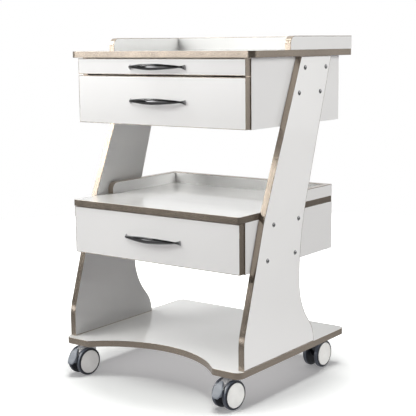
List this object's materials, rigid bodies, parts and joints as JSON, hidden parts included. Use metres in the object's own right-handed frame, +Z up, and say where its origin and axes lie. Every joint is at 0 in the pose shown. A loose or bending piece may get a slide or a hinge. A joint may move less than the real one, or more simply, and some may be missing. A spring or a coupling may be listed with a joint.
{
  "type": "rolling salon trolley",
  "caption": "Salon trolley on swivel casters: slanted side panels carry an upper drawer cabinet, a railed shelf with a drawer below it and an arched base board.",
  "frame": {"origin": "on the floor, under the middle of the overall box", "axes": "+Z up, drawers open towards -Y, +X is the right-hand side seen from the front"},
  "size_m": [0.571, 0.527, 0.871],
  "materials": {
    "white_laminate": "high-gloss white melamine on 16 mm board",
    "drawer_box_laminate": "satin white melamine",
    "champagne_edging": "metallic champagne-bronze edge band with fine brushed lines",
    "chrome": "polished chrome plate",
    "zinc_steel": "bright zinc-plated steel",
    "caster_metal": "satin nickel die casting",
    "wheel_cap": "light grey moulded plastic",
    "tyre": "dark blue-grey polyurethane tread",
    "pedal_plastic": "blue-grey moulded plastic"
  },
  "bodies": {
    "trolley": {"base_board": "white_laminate", "base_edging": "champagne_edging", "left_side_panel": "white_laminate", "right_side_panel": "white_laminate", "left_side_edging": "champagne_edging", "right_side_edging": "champagne_edging", "top_board": "white_laminate", "top_edging": "champagne_edging", "top_gallery_boards": "white_laminate", "top_gallery_edging": "champagne_edging", "shelf_board": "white_laminate", "shelf_edging": "champagne_edging", "shelf_gallery_boards": "white_laminate", "shelf_gallery_edging": "champagne_edging", "upper_cabinet_carcass": "white_laminate", "lower_cabinet_carcass": "white_laminate", "carcass_front_edging": "champagne_edging", "side_panel_screws": "chrome", "slide_outer_rails": "zinc_steel", "caster_stems": "chrome"},
    "narrow_drawer": {"narrow_drawer_front": "white_laminate", "narrow_drawer_front_edging": "champagne_edging", "narrow_drawer_box": "drawer_box_laminate", "narrow_drawer_handle": "chrome", "narrow_drawer_inner_rails": "zinc_steel"},
    "narrow_drawer_mid": {"narrow_drawer_mid_rails": "zinc_steel"},
    "deep_drawer": {"deep_drawer_front": "white_laminate", "deep_drawer_front_edging": "champagne_edging", "deep_drawer_box": "drawer_box_laminate", "deep_drawer_handle": "chrome", "deep_drawer_inner_rails": "zinc_steel"},
    "deep_drawer_mid": {"deep_drawer_mid_rails": "zinc_steel"},
    "lower_drawer": {"lower_drawer_front": "white_laminate", "lower_drawer_front_edging": "champagne_edging", "lower_drawer_box": "drawer_box_laminate", "lower_drawer_handle": "chrome", "lower_drawer_inner_rails": "zinc_steel"},
    "lower_drawer_mid": {"lower_drawer_mid_rails": "zinc_steel"},
    "front_left_caster": {"front_left_caster_housing": "caster_metal"},
    "front_left_outer_wheel": {"front_left_outer_wheel_hub": "wheel_cap", "front_left_outer_wheel_tread": "tyre"},
    "front_left_inner_wheel": {"front_left_inner_wheel_hub": "wheel_cap", "front_left_inner_wheel_tread": "tyre"},
    "front_left_brake_pedal": {"front_left_brake_pedal": "pedal_plastic"},
    "front_right_caster": {"front_right_caster_housing": "caster_metal"},
    "front_right_outer_wheel": {"front_right_outer_wheel_hub": "wheel_cap", "front_right_outer_wheel_tread": "tyre"},
    "front_right_inner_wheel": {"front_right_inner_wheel_hub": "wheel_cap", "front_right_inner_wheel_tread": "tyre"},
    "front_right_brake_pedal": {"front_right_brake_pedal": "pedal_plastic"},
    "rear_left_caster": {"rear_left_caster_housing": "caster_metal"},
    "rear_left_outer_wheel": {"rear_left_outer_wheel_hub": "wheel_cap", "rear_left_outer_wheel_tread": "tyre"},
    "rear_left_inner_wheel": {"rear_left_inner_wheel_hub": "wheel_cap", "rear_left_inner_wheel_tread": "tyre"},
    "rear_right_caster": {"rear_right_caster_housing": "caster_metal"},
    "rear_right_outer_wheel": {"rear_right_outer_wheel_hub": "wheel_cap", "rear_right_outer_wheel_tread": "tyre"},
    "rear_right_inner_wheel": {"rear_right_inner_wheel_hub": "wheel_cap", "rear_right_inner_wheel_tread": "tyre"}
  },
  "joints": [
    {"name": "narrow_drawer_slide", "type": "slide", "parent": "trolley", "child": "narrow_drawer", "axis": [0, -1, 0], "range_m": [0, 0.3]},
    {"name": "narrow_drawer_mid_slide", "type": "slide", "parent": "trolley", "child": "narrow_drawer_mid", "axis": [0, -1, 0], "range_m": [0, 0.15]},
    {"name": "deep_drawer_slide", "type": "slide", "parent": "trolley", "child": "deep_drawer", "axis": [0, -1, 0], "range_m": [0, 0.3]},
    {"name": "deep_drawer_mid_slide", "type": "slide", "parent": "trolley", "child": "deep_drawer_mid", "axis": [0, -1, 0], "range_m": [0, 0.15]},
    {"name": "lower_drawer_slide", "type": "slide", "parent": "trolley", "child": "lower_drawer", "axis": [0, -1, 0], "range_m": [0, 0.3]},
    {"name": "lower_drawer_mid_slide", "type": "slide", "parent": "trolley", "child": "lower_drawer_mid", "axis": [0, -1, 0], "range_m": [0, 0.15]},
    {"name": "front_left_swivel", "type": "hinge", "parent": "trolley", "child": "front_left_caster", "pos_m": [-0.233, -0.196, 0.075], "axis": [0, 0, 1], "continuous": true},
    {"name": "front_left_outer_spin", "type": "hinge", "parent": "front_left_caster", "child": "front_left_outer_wheel", "pos_m": [-0.23561, -0.21583, 0.036], "axis": [0.9914, -0.1305, 0], "continuous": true},
    {"name": "front_left_inner_spin", "type": "hinge", "parent": "front_left_caster", "child": "front_left_inner_wheel", "pos_m": [-0.23561, -0.21583, 0.036], "axis": [0.9914, -0.1305, 0], "continuous": true},
    {"name": "front_left_pedal", "type": "hinge", "parent": "front_left_caster", "child": "front_left_brake_pedal", "pos_m": [-0.23757, -0.2307, 0.045], "axis": [0.9914, -0.1305, 0], "range_deg": [0, 10]},
    {"name": "front_right_swivel", "type": "hinge", "parent": "trolley", "child": "front_right_caster", "pos_m": [0.233, -0.196, 0.075], "axis": [0, 0, 1], "continuous": true},
    {"name": "front_right_outer_spin", "type": "hinge", "parent": "front_right_caster", "child": "front_right_outer_wheel", "pos_m": [0.23039, -0.21583, 0.036], "axis": [0.9914, -0.1305, 0], "continuous": true},
    {"name": "front_right_inner_spin", "type": "hinge", "parent": "front_right_caster", "child": "front_right_inner_wheel", "pos_m": [0.23039, -0.21583, 0.036], "axis": [0.9914, -0.1305, 0], "continuous": true},
    {"name": "front_right_pedal", "type": "hinge", "parent": "front_right_caster", "child": "front_right_brake_pedal", "pos_m": [0.22843, -0.2307, 0.045], "axis": [0.9914, -0.1305, 0], "range_deg": [0, 10]},
    {"name": "rear_left_swivel", "type": "hinge", "parent": "trolley", "child": "rear_left_caster", "pos_m": [-0.233, 0.21, 0.075], "axis": [0, 0, 1], "continuous": true},
    {"name": "rear_left_outer_spin", "type": "hinge", "parent": "rear_left_caster", "child": "rear_left_outer_wheel", "pos_m": [-0.2337, 0.19001, 0.036], "axis": [0.9994, -0.0349, 0], "continuous": true},
    {"name": "rear_left_inner_spin", "type": "hinge", "parent": "rear_left_caster", "child": "rear_left_inner_wheel", "pos_m": [-0.2337, 0.19001, 0.036], "axis": [0.9994, -0.0349, 0], "continuous": true},
    {"name": "rear_right_swivel", "type": "hinge", "parent": "trolley", "child": "rear_right_caster", "pos_m": [0.233, 0.21, 0.075], "axis": [0, 0, 1], "continuous": true},
    {"name": "rear_right_outer_spin", "type": "hinge", "parent": "rear_right_caster", "child": "rear_right_outer_wheel", "pos_m": [0.2323, 0.19001, 0.036], "axis": [0.9994, -0.0349, 0], "continuous": true},
    {"name": "rear_right_inner_spin", "type": "hinge", "parent": "rear_right_caster", "child": "rear_right_inner_wheel", "pos_m": [0.2323, 0.19001, 0.036], "axis": [0.9994, -0.0349, 0], "continuous": true}
  ],
  "couplings": [
    {"joint": "narrow_drawer_mid_slide", "follows": "narrow_drawer_slide", "ratio": 0.5},
    {"joint": "deep_drawer_mid_slide", "follows": "deep_drawer_slide", "ratio": 0.5},
    {"joint": "lower_drawer_mid_slide", "follows": "lower_drawer_slide", "ratio": 0.5}
  ]
}
